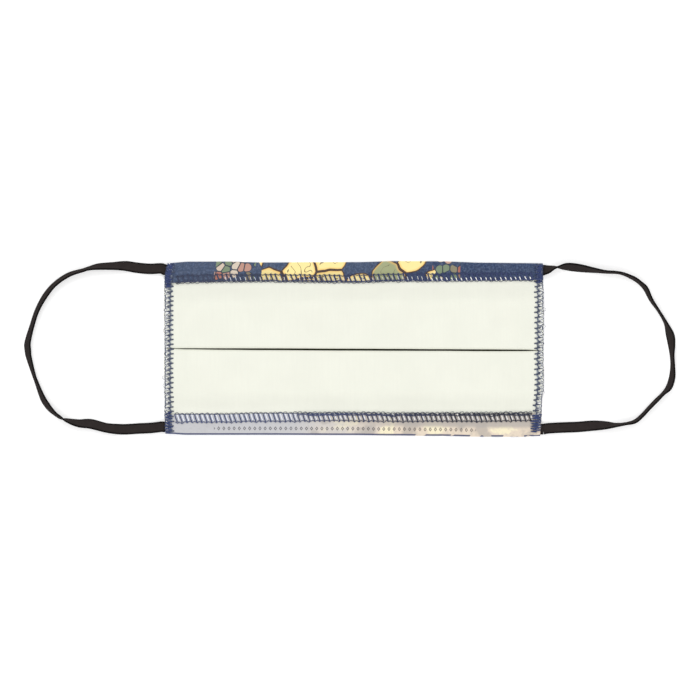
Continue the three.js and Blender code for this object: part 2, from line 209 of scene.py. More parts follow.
# The strands: beside is how far apart two like strands lie, in millimetres. A strand with a hem
# lies only on the top (1) or the bottom (-1) hem, and one with a span only on that share of it,
# counted from the right on the top hem and from the left on the bottom hem. One that goes under
# is repeated below the cloth.
HEM_STRANDS = [
    {"thread": "hem", "radius": 0.21, "beside": 0.36, "hem": 1, "points": HEM_RUNG},
    {"thread": "hem", "radius": 0.17, "beside": 0.3, "hem": -1, "points": HEM_RUNG},
    {"thread": "pale", "radius": 0.22, "beside": 0.24, "hem": -1, "points": PALE_RUNG},
    {"thread": "white", "radius": 0.17, "beside": 0.16, "hem": 1, "span": (0, 0.3), "points": WHITE_DASH},
    {"thread": "pale", "radius": 0.17, "hem": 1, "span": (0.3, 0.87), "points": PALE_DASH},
    {"thread": "hem", "radius": 0.17, "points": INNER_LINE},
    {"thread": "hem", "radius": 0.2, "beside": 0.5, "hem": 1, "points": TOP_RAW_EDGE},
    {"thread": "hem", "radius": 0.25, "hem": -1, "span": (0.35, 1), "points": BOTTOM_RAW_EDGE},
    {"thread": "hem", "radius": 0.25, "hem": -1, "span": (0.38, 1), "points": BESIDE_RAW_EDGE},
    {"thread": "hem", "radius": 0.15, "points": OUTER_LINE},
    {"thread": "side", "radius": 0.1, "points": OUTER_LOOPS},
]
SIDE_STRANDS = [
    {"thread": "side", "radius": 0.17, "beside": 0.3, "under": True, "points": SIDE_SPIKE},
    {"thread": "side", "radius": 0.14, "under": True, "points": SIDE_LINE},
    {"thread": "grey", "radius": 0.15, "beside": 0.7, "points": GREY_LINE},
    {"thread": "side", "radius": 0.16, "points": SIDE_LOOPS},
    {"thread": "side", "radius": 0.18, "under": True, "points": SIDE_EDGE},
    {"thread": "grey", "radius": 0.13, "points": GREY_LOOPS},
    {"thread": "white", "radius": 0.18, "beside": 0.3, "points": WHITE_LOOPS},
]

# Loose loops of thread that stand out of the seams: side, height and reach, in millimetres
STRAYS = [
    {"side": -1, "up": -14.5, "reach": 1.2},
    {"side": -1, "up": -18.5, "reach": 0.9},
    {"side": -1, "up": 9.0, "reach": 0.7},
    {"side": 1, "up": 19.5, "reach": 1.3},
    {"side": 1, "up": 11.0, "reach": 1.1},
    {"side": 1, "up": -22.0, "reach": 0.8},
]
STRAY_RADIUS = 0.08 * MM

# Dense stitches where a side seam crosses a hem: side, lowest and highest point, inward reach
# and pitch, in millimetres
KNOTS = [
    {"side": -1, "low": 30.5, "high": 42.6, "reach": 3.4, "pitch": 0.75},
    {"side": -1, "low": -43.0, "high": -31.4, "reach": 3.6, "pitch": 1.45},
    {"side": 1, "low": 32.5, "high": 41.6, "reach": 3.8, "pitch": 0.75},
    {"side": 1, "low": -43.0, "high": -33.0, "reach": 5.2, "pitch": 1.3},
]
KNOT_RADIUS = 0.18 * MM
SHORT_REACH = 0.7

# How the layers of cloth lie: steps across the mask, along a hem and round a fold, and the place
# of the top fold among the points of the front cloth
STATIONS = 150
HEM_STEPS = 8
FOLD_STEPS = 10
FOLD_PLACE = HEM_STEPS + FOLD_STEPS // 2

# Distances from a side seam over which the layers are pressed together, lifted off the floor,
# kept from waving and given painted shade inside the pleat, and how high the seam itself is lifted
PRESSED_REACH = 14 * MM
LIFT_REACH = 9 * MM
STILL_REACH = 16 * MM
SHADE_REACH = 6 * MM
SEAM_LIFT = 0.45 * MM

# The strip beside the pleat's line that gets painted shade, and the depths in layers where the
# painted shade begins and how far it takes to deepen
SHADED_STRIP = 3.2 * MM
SHADE_START = 0.55
SHADE_RANGE = 0.9

# Flat sizes: the mean height as a share of the greatest, what the round folds save, and how far
# the lining stays away from the elastic
MEAN_HEIGHT = 0.976
FOLDS_SAVE = 3 * MM
LINING_CLEAR = 2.2 * MM

# The elastic: room between its edge and the fold of a hem, how far the tail reaches out of the
# seam, the lift that the routes have at a seam, its height above the floor, and its knitted ribs
FOLD_ROOM = 0.12 * MM
TAIL_OUT = 0.3 * MM
ROUTE_LIFT = 1.3 * MM
FLOOR_ROOM = 0.05 * MM
RIBS = 9
RIB_STEPS = 4
RIB_DEPTH = 0.09 * MM
BAND_STEPS = 9

# Pitches of the cotton's weave and of the elastic's knit, and the height of the weave
WEAVE_PITCH = 0.42 * MM
WEAVE_HEIGHT = 0.06 * MM
KNIT_PITCH = 0.7 * MM
KNIT_RIB_PITCH = 0.5 * MM
KNIT_HEIGHT = 0.08 * MM

# The studio: floor, even light from all around, and two soft lamps with name, place and power
FLOOR_SIZE = 12.0
SKY_STRENGTH = 0.74
LAMP_SIZE = 1.1
LAMPS = [
    ("top_light", (-0.2, 1.3, 1.3), 12.6),
    ("bottom_light", (0.2, -1.3, 1.3), 12.4),
]


def paint(code):
    """A colour written as a web code, as linear red, green and blue."""
    channels = (int(code[i : i + 2], 16) / 255 for i in (0, 2, 4))
    return tuple(c / 12.92 if c <= 0.04045 else ((c + 0.055) / 1.055) ** 2.4 for c in channels)


def shade(tint, share):
    """A colour made darker or brighter by a share."""
    return tuple(min(c * share, 1.0) for c in tint)


def length(name, description, millimetres):
    return bpy.props.FloatProperty(
        name=name,
        description=description,
        default=millimetres * MM,
        unit="LENGTH",
        subtype="DISTANCE",
        precision=5,
    )


def colour(name, description, code):
    return bpy.props.FloatVectorProperty(
        name=name,
        description=description,
        default=paint(code),
        size=3,
        subtype="COLOR",
        min=0,
        max=1,
    )


class MaskSizes(bpy.types.PropertyGroup):
    """Sizes of the mask's soft pieces."""

    cloth: length("Cloth", "Thickness of either cloth", 0.55)
    layer_gap: length("Layer gap", "Air between two layers in the middle of the mask", 0.32)
    seam_gap: length("Seam gap", "Air between two layers at the side seams", 0.06)
    pleat_depth: length("Pleat depth", "From the pleat's line to an outer fold", 20)
    pleat_open: length("Pleat opening", "Width of the open line between the two inner folds", 0.75)
    slope: length("Slope", "Length of the drape from the pleat down to a hem", 12)
    top_hem: length("Top hem", "From the fold to the raw edge", 9.7)
    bottom_hem: length("Bottom hem", "From the fold to the raw edge", 10.9)
    puff: length("Puff", "How far the upper layers wave", 0.35)
    elastic_width: length("Elastic width", "Width of the flat elastic", 5.3)
    elastic_thickness: length("Elastic thickness", "Thickness of the flat elastic", 0.9)
    elastic_tail: length("Elastic tail", "Length of elastic inside a hem", 6.5)
    elastic_room: length("Elastic room", "Air around the elastic inside a hem", 0.1)
    hem_pitch: length("Hem pitch", "Length of one overlock stitch on the hems", 2.45)
    left_pitch: length("Left pitch", "Length of one overlock stitch on the left side", 2.4)
    right_pitch: length("Right pitch", "Length of one overlock stitch on the right side", 2.57)


class MaskColours(bpy.types.PropertyGroup):
    """Colours of the mask's cloths, elastic and thread."""

    lining: colour("Lining", "White cotton", "E5E6DA")
    navy: colour("Navy", "Ground of the print at the top", "3E4A62")
    deep_navy: colour("Deep navy", "Ground of the print at the top right", "2C3A58")
    faded_navy: colour("Faded navy", "Speckles of the dark ground", "6C7D9E")
    lavender: colour("Lavender", "Ground of the print at the lower left", "BDBDC0")
    cream: colour("Cream", "Ground of the print at the lower right", "DCCDBA")
    yellow: colour("Yellow", "Large pebbles of the print", "F5E09A")
    orange: colour("Orange", "Warm rims of the pebbles", "E9B45F")
    terracotta: colour("Terracotta", "Small pebbles of the print", "B4695A")
    green: colour("Green", "Leaves of the print", "7F8F73")
    outline: colour("Outline", "Lines round the pebbles", "4A3A35")
    leaf_line: colour("Leaf line", "Lines round the small leaves", "39404A")
    dark_stain: colour("Dark stain", "Stains of the pale ground", "97928F")
    light_stain: colour("Light stain", "Yellowish stains of the pale ground", "EFE6C4")
    hem_shade: colour("Hem shade", "Shade beside the bottom stitches", "ADA6A0")
    speckle: colour("Speckle", "Speckles of the pale ground", "A3A2A6")
    diamonds: colour("Diamonds", "Row of diamonds along the bottom hem", "33313A")
    fold_line: colour("Fold line", "Broken line on the bottom fold", "323C63")
    # Painted shade: a dark colour given to the lining deep inside the pleat
    pleat_shade: colour("Pleat shade", "Lining deep inside the pleat", "45452F")
    thread: colour("Thread", "Overlock thread of the top hem", "38426A")
    muted_thread: colour("Muted thread", "Overlock thread at the top left", "3C4259")
    light_thread: colour("Light thread", "Overlock thread of the bottom hem", "4B5476")
    dark_thread: colour("Dark thread", "Thread of the hems towards the right", "30323E")
    side_thread: colour("Side thread", "Greyed overlock thread of the sides", "474D62")
    deep_thread: colour("Deep thread", "Shaded thread in the corner knots", "33406B")
    grey_thread: colour("Grey thread", "Faded looper thread on the sides", "8E98A6")
    pale_thread: colour("Pale thread", "Off-white looper thread on the hems", "D6DBEA")
    warm_thread: colour("Warm thread", "The same thread towards the right", "E0DDDA")
    white_thread: colour("White thread", "White looper thread on the sides", "F4F4F2")
    elastic: colour("Elastic", "Flat elastic", "2C2726")
    floor: colour("Floor", "Plain pale floor", "F2F2F2")


class Value:
    """A shader socket that adds its Math nodes as it is used in an expression."""

    def __init__(self, shader, socket):
        self.shader = shader
        self.socket = socket

    def _math(self, operation, *values):
        settings = {"operation": operation}
        return self.shader.add("ShaderNodeMath", settings, dict(enumerate(values)))[0]

    def __add__(self, other):
        return self._math("ADD", self, other)

    def __sub__(self, other):
        return self._math("SUBTRACT", self, other)

    def __rsub__(self, other):
        return self._math("SUBTRACT", other, self)

    def __mul__(self, other):
        return self._math("MULTIPLY", self, other)

    def __gt__(self, other):
        return self._math("GREATER_THAN", self, other)

    def __lt__(self, other):
        return self._math("LESS_THAN", self, other)

    def sine(self):
        return self._math("SINE", self)

    def absolute(self):
        return self._math("ABSOLUTE", self)

    def least(self, other):
        return self._math("MINIMUM", self, other)

    def most(self, other):
        return self._math("MAXIMUM", self, other)

    def back_and_forth(self, span):
        """Runs from 0 to the span and back again."""
        return self._math("PINGPONG", self, span)

    def between(self, low, high):
        """0 below low and 1 above high, with a smooth change."""
        return self.shader.add(
            "ShaderNodeMapRange",
            {"interpolation_type": "SMOOTHSTEP", "clamp": True},
            {"Value": self, "From Min": low, "From Max": high, "To Min": 0.0, "To Max": 1.0},
        )["Result"]


class Outputs:
    """The outputs of a node, by name or number, as values for an expression."""

    def __init__(self, shader, node):
        self.shader = shader
        self.node = node

    def __getitem__(self, key):
        return Value(self.shader, self.node.outputs[key])


class Shader:
    """A material under construction, with one Principled surface."""

    def __init__(self, name):
        self.material = bpy.data.materials.new(name)
        self.material.use_nodes = True
        self.nodes = self.material.node_tree.nodes
        self.surface = self.nodes["Principled BSDF"]

    def add(self, kind, settings=None, values=None):
        """Adds a node: its settings are set first, then the values or links of its sockets."""
        node = self.nodes.new(kind)
        for key, value in (settings or {}).items():
            if key == "stops":
                self._set_stops(node.color_ramp, value)
            else:
                setattr(node, key, value)
        for key, value in (values or {}).items():
            self._plug(node.inputs[key], value)
        return Outputs(self, node)

    def _set_stops(self, ramp, stops):
        while len(ramp.elements) < len(stops):
            ramp.elements.new(1.0)
        for element, (position, tint) in zip(ramp.elements, stops):
            element.position = position
            element.color = (*tint, 1.0)

    def _plug(self, socket, value):
        if isinstance(value, Value):
            self.material.node_tree.links.new(value.socket, socket)
        elif socket.type == "RGBA" and len(value) == 3:
            socket.default_value = (*value, 1.0)
        else:
            socket.default_value = value

    def mix(self, share, first, second):
        """The first colour where share is 0, and the second where it is 1."""
        return self.add("ShaderNodeMix", {"data_type": "RGBA"}, {0: share, 6: first, 7: second})[2]

    def vector(self, operation, *values):
        settings = {"operation": operation}
        return self.add("ShaderNodeVectorMath", settings, dict(enumerate(values)))[0]

    def noise(self, vector, scale, detail=2.0, roughness=0.5):
        settings = {"noise_dimensions": "3D"}
        values = {"Vector": vector, "Scale": scale, "Detail": detail, "Roughness": roughness}
        return self.add("ShaderNodeTexNoise", settings, values)["Fac"]

    def bump(self, height, distance, strength=1.0, normal=None):
        values = {"Height": height, "Distance": distance, "Strength": strength}
        if normal is not None:
            values["Normal"] = normal
        return self.add("ShaderNodeBump", None, values)["Normal"]

    def finish(self, **sockets):
        for key, value in sockets.items():
            self._plug(self.surface.inputs[key.replace("_", " ")], value)
        return self.material


def flat_places(shader):
    """Places on the flat cut cloth, in metres: the map, its across and its along."""
    flat = shader.add("ShaderNodeUVMap", {"uv_map": "flat"})["UV"]
    parts = shader.add("ShaderNodeSeparateXYZ", None, {"Vector": flat})
    return flat, parts["X"], parts["Y"]


def waves(place, pitch):
    """Runs up and down between -1 and 1 once in every pitch."""
    return (place * (2 * math.pi / pitch)).sine()


def cotton_bump(shader, across, along, creases, height, strength):
    """Plain weave, whose threads pass over and under each other, with soft creases over it."""
    weave = waves(across, WEAVE_PITCH) * waves(along, WEAVE_PITCH) * 0.5 + 0.5
    normal = shader.bump(weave, WEAVE_HEIGHT, 0.6)
    return shader.bump(creases, height, strength, normal)


def lining_material(colours):
    shader = Shader("lining_cotton")
    flat, across, along = flat_places(shader)
    mottle = shader.noise(flat, 55.0, 3.0)
    streak = shader.noise(shader.vector("MULTIPLY", flat, (900, 60, 1)), 1.0)
    tint = shader.mix(mottle.between(0.3, 0.7), shade(colours.lining, 0.972), colours.lining)
    tint = shader.mix(streak.between(0.35, 0.75) * 0.35, tint, shade(colours.lining, 0.95))
    # Painted shade: the lining deep inside the pleat is coloured dark
    painted_pleat_shade = shader.add("ShaderNodeAttribute", {"attribute_name": "pleat_inside"})["Fac"]
    tint = shader.mix(painted_pleat_shade, tint, colours.pleat_shade)
    creases = shader.noise(flat, 38.0, 4.0, 0.6)
    normal = cotton_bump(shader, across, along, creases, 0.6 * MM, 0.35)
    return shader.finish(
        Base_Color=tint, Roughness=0.92, Normal=normal, Specular_IOR_Level=0.2, Sheen_Weight=0.12
    )


def pebbles(shader, flat, size, warp):
    """Rounded pebbles: two random shares for each one, and the distance in from its rim."""
    settings = {"noise_dimensions": "3D"}
    shift = shader.add("ShaderNodeTexNoise", settings, {"Vector": flat, "Scale": 60.0})["Color"]
    moved = shader.vector("MULTIPLY_ADD", shift, (warp, warp, 0), flat)
    values = {"Vector": moved, "Scale": 1 / size, "Randomness": 0.75}
    settings = {"voronoi_dimensions": "2D", "feature": "F1"}
    cells = shader.add("ShaderNodeTexVoronoi", settings, values)
    settings = {"voronoi_dimensions": "2D", "feature": "DISTANCE_TO_EDGE"}
    rims = shader.add("ShaderNodeTexVoronoi", settings, values)
    random_shares = shader.add("ShaderNodeSeparateColor", None, {"Color": cells["Color"]})
    round_rim = (0.62 - cells["Distance"]) * size
    rim = round_rim.least(rims["Distance"] * size)
    return random_shares["Red"], random_shares["Green"], rim


def print_ground(shader, colours, flat, across, from_fold, wash, low):
    """The print's ground: dark at the top of the mask, and pale with stains at the bottom."""
    stain = shader.noise(flat, 85.0, 3.0, 0.55)
    speckle = shader.noise(flat, 1000.0, 2.0)
    navy = shader.mix(across.between(-0.02, 0.06), colours.navy, colours.deep_navy)
    navy = shader.mix(speckle.between(0.42, 0.68) * 0.3, navy, colours.faded_navy)
    to_right = (across + (wash - 0.5) * 0.1).between(-0.05, 0.03)
    pale = shader.mix(to_right, colours.lavender, colours.cream)
    stained = stain.between(0.5, 0.62) * across.between(-0.09, -0.01)
    pale = shader.mix(stained * 0.55, pale, colours.dark_stain)
    bleached = (1 - stain.between(0.4, 0.46)) * across.between(-0.03, 0.02)
    pale = shader.mix(bleached * 0.8, pale, colours.light_stain)
    shaded = from_fold.between(3.6 * MM, 5.8 * MM) * across.between(-0.02, 0.04)
    pale = shader.mix(shaded * 0.85, pale, colours.hem_shade)
    pale = shader.mix(speckle.between(0.5, 0.75) * 0.25, pale, colours.speckle)
    return shader.mix(low, navy, pale)


def print_pebbles(shader, colours, flat, zone, tint):
    """Adds large pebbles with a warm rim, a dark line round each one and fine veins."""
    which, tone, rim = pebbles(shader, flat, 14.5 * MM, 6 * MM)
    chosen = zone * (which < 0.78)
    fill = shader.mix(tone.between(0.62, 0.66), colours.yellow, shade(colours.yellow, 0.86))
    fill = shader.mix(tone.between(0.9, 0.92) * 0.8, fill, colours.green)
    fill = shader.mix((1 - rim.between(0.6 * MM, 1.8 * MM)) * 0.6, fill, colours.orange)
    vein = ((shader.noise(flat, 120.0, 1.0) - 0.5).absolute() < 0.008) * (rim > 2 * MM)
    tint = shader.mix(chosen * (rim > 0.0), tint, colours.outline)
    tint = shader.mix(chosen * (rim > 0.6 * MM), tint, fill)
    return shader.mix(chosen * vein * 0.8, tint, colours.outline)


def print_leaves(shader, colours, flat, zone, tint):
    """Adds small leaves in three colours, with a thin dark line round each one."""
    which, tone, rim = pebbles(shader, flat, 3.8 * MM, 2 * MM)
    greens = [(0.0, colours.green), (0.4, colours.green)]
    others = [(0.5, colours.terracotta), (0.8, colours.cream)]
    fill = shader.add("ShaderNodeValToRGB", {"stops": greens + others}, {"Fac": tone})["Color"]
    leaf = zone * (which < 0.85)
    tint = shader.mix(leaf * (rim > 0.0), tint, colours.leaf_line)
    return shader.mix(leaf * (rim > 0.28 * MM) * 0.85, tint, fill)


def print_hem_marks(shader, colours, flat, across, from_fold, tint):
    """Adds a row of small diamonds to the bottom hem, and a broken line on its fold."""
    border = from_fold - 3.4 * MM
    diamond = border.absolute() * 0.75 + across.back_and_forth(1.3 * MM)
    rings = (diamond < 0.78 * MM) * (diamond > 0.34 * MM)
    mark = rings * ((across + 4 * MM).absolute() < 66 * MM)
    tint = shader.mix(mark * 0.8, tint, colours.diamonds)
    fold_line = (from_fold - 0.2 * MM).absolute() < 0.9 * MM
    broken = shader.noise(flat, 160.0, 1.0) > across.between(-0.04, 0.06) * 0.24 + 0.24
    return shader.mix(fold_line * broken * 0.9, tint, colours.fold_line)


def print_material(colours, fold_to_fold):
    """Printed cotton, with the print's large pebbles and small leaves on a two-part ground."""
    shader = Shader("printed_cotton")
    flat, across, along = flat_places(shader)
    from_fold = along - fold_to_fold
    wash = shader.noise(flat, 26.0, 4.0, 0.6)
    drifted = along + (wash - 0.5) * 0.02
    low = drifted.between(fold_to_fold * 0.62, fold_to_fold * 0.95)
    tint = print_ground(shader, colours, flat, across, from_fold, wash, low)
    on_front = along > 6 * MM
    on_hem = (across + 4 * MM).absolute() < (wash - 0.5) * 0.03 + 0.043
    zone = on_hem.most(on_front * (wash > 0.5)) * (low < 0.5)
    tint = print_pebbles(shader, colours, flat, zone, tint)
    beside = ((across + 0.06).absolute() < 0.01).most((across - 0.046).absolute() < 0.007)
    zone = beside.most(on_front * (wash < 0.42)) * (low < 0.5)
    tint = print_leaves(shader, colours, flat, zone, tint)
    tint = print_hem_marks(shader, colours, flat, across, from_fold, tint)
    faded = shader.noise(flat, 420.0, 3.0).between(0.3, 0.75)
    tint = shader.mix(faded * 0.03, tint, (0.8, 0.8, 0.78))
    creases = shader.noise(flat, 60.0, 4.0, 0.6)
    normal = cotton_bump(shader, across, along, creases, 0.5 * MM, 0.3)
    return shader.finish(
        Base_Color=tint, Roughness=0.9, Normal=normal, Specular_IOR_Level=0.2, Sheen_Weight=0.1
    )


def elastic_material(colours):
    shader = Shader("knitted_elastic")
    flat, across, along = flat_places(shader)
    knit = waves(along, KNIT_PITCH) * 0.5 + 0.5
    ribs = waves(across, KNIT_RIB_PITCH) * 0.5 + 0.5
    wear = shader.noise(flat, 300.0, 3.0)
    worn = wear.between(0.3, 0.8) * 0.4 + ribs * 0.2
    tint = shader.mix(worn, colours.elastic, shade(colours.elastic, 1.5))
    tint = shader.mix(knit * 0.25, tint, shade(colours.elastic, 0.6))
    # Painted shade: the band's edges are made darker, so that where the band stands on edge it looks
    # shaded
    edges = across.absolute().between(1.5 * MM, 2.3 * MM)
    tint = shader.mix(edges, tint, shade(colours.elastic, 0.2))
    normal = shader.bump(knit * 0.5 + ribs, KNIT_HEIGHT, 0.7)
    return shader.finish(Base_Color=tint, Roughness=0.9, Normal=normal, Specular_IOR_Level=0.08)


def thread_material(name, base, far=None):
    """Spun thread, which may change its colour from the left of the mask to the right."""
    shader = Shader(name)
    place = shader.add("ShaderNodeTexCoord")["Object"]
    fibre = shader.noise(place, 2600.0, 3.0)
    patches = shader.noise(place, 90.0, 2.0)
    tint = shader.mix(fibre.between(0.3, 0.7) * 0.4, base, shade(base, 1.5))
    if far is not None:
        across = shader.add("ShaderNodeSeparateXYZ", None, {"Vector": place})["X"]
        tint = shader.mix(across.between(-0.06, 0.07), tint, far)
    tint = shader.mix(patches.between(0.4, 0.8) * 0.35, tint, shade(base, 0.6))
    normal = shader.bump(fibre, 0.05 * MM, 0.6)
    return shader.finish(
        Base_Color=tint, Roughness=0.7, Normal=normal, Specular_IOR_Level=0.25, Sheen_Weight=0.1
    )


def floor_material(colours):
    shader = Shader("pale_floor")
    place = shader.add("ShaderNodeTexCoord")["Object"]
    grain = shader.noise(place, 40.0)
    tint = shader.mix(grain * 0.03, colours.floor, shade(colours.floor, 0.9))
    glow = {"Emission_Color": (1.0, 1.0, 1.0), "Emission_Strength": 0.28}
    return shader.finish(Base_Color=tint, Roughness=0.85, Specular_IOR_Level=0.1, **glow)


def eased(share):
    share = min(max(share, 0.0), 1.0)
    return share * share * (3 - 2 * share)


def table_value(table, place_key, place, value_key):
    """A value of a table between two of its rows, eased so that the rows join without a corner."""
    for low, high in zip(table, table[1:]):
        if place <= high[place_key]:
            share = eased((place - low[place_key]) / (high[place_key] - low[place_key]))
            return low[value_key] + (high[value_key] - low[value_key]) * share
    return table[-1][value_key]


def outline_at(across, sizes):
    share = {key: table_value(OUTLINE, "across", across, key) for key in OUTLINE[0]}
    return {
        "top": HALF_HEIGHT * share["top"],
        "bottom": HALF_HEIGHT * share["bottom"],
        "line": HALF_HEIGHT * share["line"],
        "top_hem": sizes.top_hem * share["top_hem"],
        "bottom_hem": sizes.bottom_hem * share["bottom_hem"],
        "open": sizes.pleat_open * share["open"],
    }


def seam_x(side, y):
    """The x of the left (-1) or right (1) side seam at a height."""
    up = min(max(y / HALF_HEIGHT, -1), 1)
    return side * HALF_WIDTH * table_value(SEAMS, "up", up, "left" if side < 0 else "right")


def seam_to_seam(across, y):
    """The x at a share of the way from the left seam to the right one, at a height."""
    left = seam_x(-1, y)
    right = seam_x(1, y)
    return left + (right - left) * across


def fold(centre, radius, start, stop, facing):
    """Points of a fold, each with the way that the cloth's inside faces."""
    points = []
    for step in range(FOLD_STEPS + 1):
        angle = math.radians(start + (stop - start) * step / FOLD_STEPS)
        outward = Vector((math.cos(angle), math.sin(angle)))
        points.append((centre + outward * radius, outward * facing))
    return points


def drape(start, end, steps=16):
    """Points of the slope from the hem up on to the folded layers."""
    points = []
    run, rise = end - start
    for step in range(steps + 1):
        share = step / steps
        height = start.y + rise * (1 - math.cos(math.pi * share)) / 2
        steepness = rise * math.pi / 2 * math.sin(math.pi * share)
        along = Vector((run, steepness)).normalized()
        points.append((Vector((start.x + run * share, height)), Vector((along.y, -along.x))))
    return points


def straight(start, end, inside, steps):
    """Points of a flat run between two places, without its ends."""
    return [(start.lerp(end, step / steps), inside.copy()) for step in range(1, steps)]


def from_seam(across):
    """Distance from the nearer side seam, in metres."""
    return min(across, 1 - across) * 2 * HALF_WIDTH


class Layers:
    """Heights of the mask's layers at one place across it."""

    def __init__(self, across, sizes):
        seam_distance = from_seam(across)
        pressed = eased(seam_distance / PRESSED_REACH)
        gap = sizes.seam_gap + (sizes.layer_gap - sizes.seam_gap) * pressed
        self.base = SEAM_LIFT * (1 - eased(seam_distance / LIFT_REACH))
        self.pitch = sizes.cloth + gap
        self.half = sizes.cloth + gap / 2
        self.low = self.half
        self.middle = self.half + 2 * self.pitch
        self.high = self.half + 4 * self.pitch
        self.hem_room = sizes.elastic_thickness + 2 * sizes.elastic_room
        self.hem_centre = sizes.cloth + self.hem_room / 2
        self.hem_radius = (self.hem_room + sizes.cloth) / 2


def pair_half(edge, hem, opening, layers, sizes):
    """Half of the pleated pair of cloths, from under a hem to the middle of the front."""
    foot = edge - hem - layers.pitch
    inner_y = opening / 2 + layers.pitch + layers.half
    outer_y = sizes.pleat_depth - layers.pitch - layers.half
    inner = Vector((inner_y, (layers.middle + layers.high) / 2))
    outer = Vector((outer_y, (layers.low + layers.middle) / 2))
    crest = max(foot - sizes.slope, sizes.pleat_depth - layers.pitch)
    up = Vector((0, 1))
    down = Vector((0, -1))
    lining_edge = edge - layers.hem_centre - sizes.elastic_width - 2 * sizes.elastic_room
    start = Vector((lining_edge, layers.low))
    slope = drape(Vector((foot, layers.low)), Vector((crest, layers.high)))
    first = fold(inner, layers.pitch, 90, 270, 1)
    second = fold(outer, layers.pitch, 90, -90, -1)
    middle = Vector((0, layers.low))
    return [
        (start, up),
        *straight(start, slope[0][0], up, 4),
        *slope,
        *straight(slope[-1][0], first[0][0], up, 12),
        *first,
        *straight(first[-1][0], second[0][0], down, 6),
        *second,
        *straight(second[-1][0], middle, up, 8),
    ]


def hem_points(edge, hem, layers):
    """The hem of the front cloth beyond the lining's edge, from its raw edge to the fold's foot."""
    down = Vector((0, -1))
    raw = Vector((edge - hem, layers.hem_centre + layers.hem_radius))
    centre = Vector((edge - layers.hem_centre, layers.hem_centre))
    turn = fold(centre, layers.hem_radius, 90, -90, -1)
    return [(raw, down), *straight(raw, turn[0][0], down, HEM_STEPS), *turn]


def on_panel(points, line, panel):
    """Points of a half of the mask, laid from the top down on its upper or lower panel."""
    turned = [(Vector((line + panel * p.x, p.y)), Vector((panel * n.x, n.y))) for p, n in points]
    return turned if panel > 0 else turned[::-1]


def pair_course(outline, layers, sizes):
    """The surface between the pleated cloths, from under the top hem to under the bottom hem."""
    line = outline["line"]
    opening = outline["open"]
    upper = pair_half(outline["top"] - line, outline["top_hem"], opening, layers, sizes)
    lower = pair_half(outline["bottom"] + line, outline["bottom_hem"], opening, layers, sizes)
    middle = (Vector((line, layers.low)), Vector((0, 1)))
    return [*on_panel(upper, line, 1), middle, *on_panel(lower, line, -1)]


def lining_course(outline, layers, sizes):
    pair = pair_course(outline, layers, sizes)
    return [(place + inside * layers.pitch / 2, inside) for place, inside in pair]


def front_course(outline, layers, sizes):
    line = outline["line"]
    pair = pair_course(outline, layers, sizes)[1:-1]
    top_hem = hem_points(outline["top"] - line, outline["top_hem"], layers)
    bottom_hem = hem_points(outline["bottom"] + line, outline["bottom_hem"], layers)
    return [
        *on_panel(top_hem, line, 1),
        *[(place - inside * layers.pitch / 2, inside) for place, inside in pair],
        *on_panel(bottom_hem, line, -1),
    ]


def puff_at(x, y, z, layers, sizes):
    """How far a soft place of the upper layers stands above its pressed height."""
    free = eased((z - layers.middle) / (layers.high - layers.middle))
    still = eased((HALF_WIDTH - abs(x)) / STILL_REACH)
    broad = noise.noise(Vector((x * 38, y * 55, 0.3)))
    narrow = noise.noise(Vector((x * 95, y * 120, 4.1)))
    return sizes.puff * (broad + 0.5 * narrow) * free * still


def mapped_mesh(name, vertices, faces, flat):
    """A mesh with a UV map that holds the place of each vertex on the flat cut piece."""
    mesh = bpy.data.meshes.new(name)
    mesh.from_pydata(vertices, [], faces)
    uv = mesh.uv_layers.new(name="flat")
    for loop in mesh.loops:
        uv.data[loop.index].uv = flat[loop.vertex_index]
    mesh.update()
    return mesh


def running_lengths(course):
    """The length of a course from its start to each of its points."""
    lengths = [0.0]
    for (a, _), (b, _) in zip(course, course[1:]):
        lengths.append(lengths[-1] + (b - a).length)
    return lengths


def pleat_shade(place, across, line, layers):
    """How much painted shade a place of the lining gets, deep inside the pleat's opening."""
    if abs(place.x - line) >= SHADED_STRIP:
        return 0.0
    depth = (layers.high - place.y) / layers.pitch
    return eased((depth - SHADE_START) / SHADE_RANGE) * eased(from_seam(across) / SHADE_REACH)


def cloth_mesh(name, course_at, sizes, fold_index):
    """A cloth's middle surface, with its flat cut as a UV map, from its courses across the mask."""
    vertices = []
    flat = []
    inside = []
    for station in range(STATIONS + 1):
        across = station / STATIONS
        layers = Layers(across, sizes)
        outline = outline_at(across, sizes)
        course = course_at(outline, layers, sizes)
        lengths = running_lengths(course)
        first = lengths[fold_index]
        last = lengths[-1 - fold_index]
        scale = flat_cut(sizes, fold_index) / (last - first)
        for (place, _), run in zip(course, lengths):
            x = seam_to_seam(across, place.x)
            z = place.y + layers.base + puff_at(x, place.x, place.y, layers, sizes)
            vertices.append((x, place.x, z))
            flat.append(((across - 0.5) * 2 * HALF_WIDTH, (run - first) * scale))
            # How much painted shade the point gets deep inside the pleat; only the lining's colour uses
            # it
            inside.append(pleat_shade(place, across, outline["line"], layers))
    per_course = len(vertices) // (STATIONS + 1)
    faces = []
    for station in range(STATIONS):
        for place in range(per_course - 1):
            a = station * per_course + place
            faces.append((a, a + 1, a + 1 + per_course, a + per_course))
    mesh = mapped_mesh(name, vertices, faces, flat)
    # Stored for the lining's colour, which paints shade deep inside the pleat
    shaded = mesh.attributes.new("pleat_inside", "FLOAT", "POINT")
    shaded.data.foreach_set("value", inside)
    return mesh


def flat_cut(sizes, fold_index):
    """Length of the flat cloth between its two folds, or of the whole lining."""
    folded = 2 * HALF_HEIGHT * MEAN_HEIGHT + 4 * sizes.pleat_depth
    if fold_index:
        return folded - FOLDS_SAVE
    return folded - 2 * (sizes.elastic_width + LINING_CLEAR)


def add_object(name, mesh):
    piece = bpy.data.objects.new(name, mesh)
    bpy.context.scene.collection.objects.link(piece)
    return piece


def make_active(piece):
    bpy.ops.object.select_all(action="DESELECT")
    piece.select_set(True)
    bpy.context.view_layer.objects.active = piece


